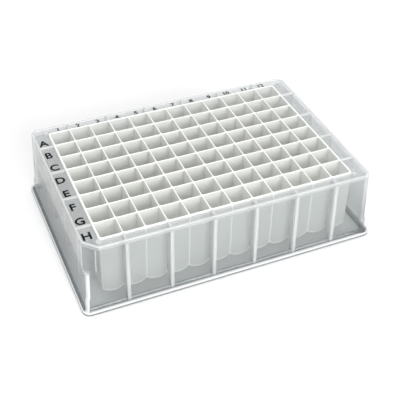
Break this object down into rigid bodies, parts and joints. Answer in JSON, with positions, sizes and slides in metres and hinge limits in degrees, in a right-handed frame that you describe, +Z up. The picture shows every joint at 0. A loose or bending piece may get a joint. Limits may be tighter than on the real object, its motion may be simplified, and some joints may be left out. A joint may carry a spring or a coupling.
{
  "type": "well plate",
  "caption": "Deep-well plate: a grid of square wells with rounded bottoms inside a thin translucent skirt with a stepped foot and one cut corner.",
  "frame": {"origin": "centre of the footprint, on the plane the plate stands on", "axes": "+X along the lettered rows towards the last column, +Y towards row A, +Z up out of the wells"},
  "size_m": [0.1278, 0.0854, 0.032],
  "materials": {
    "natural_polypropylene": "translucent, satin",
    "print_ink": "matt black print"
  },
  "bodies": {
    "root": {"well_plate": "natural_polypropylene"}
  },
  "joints": []
}
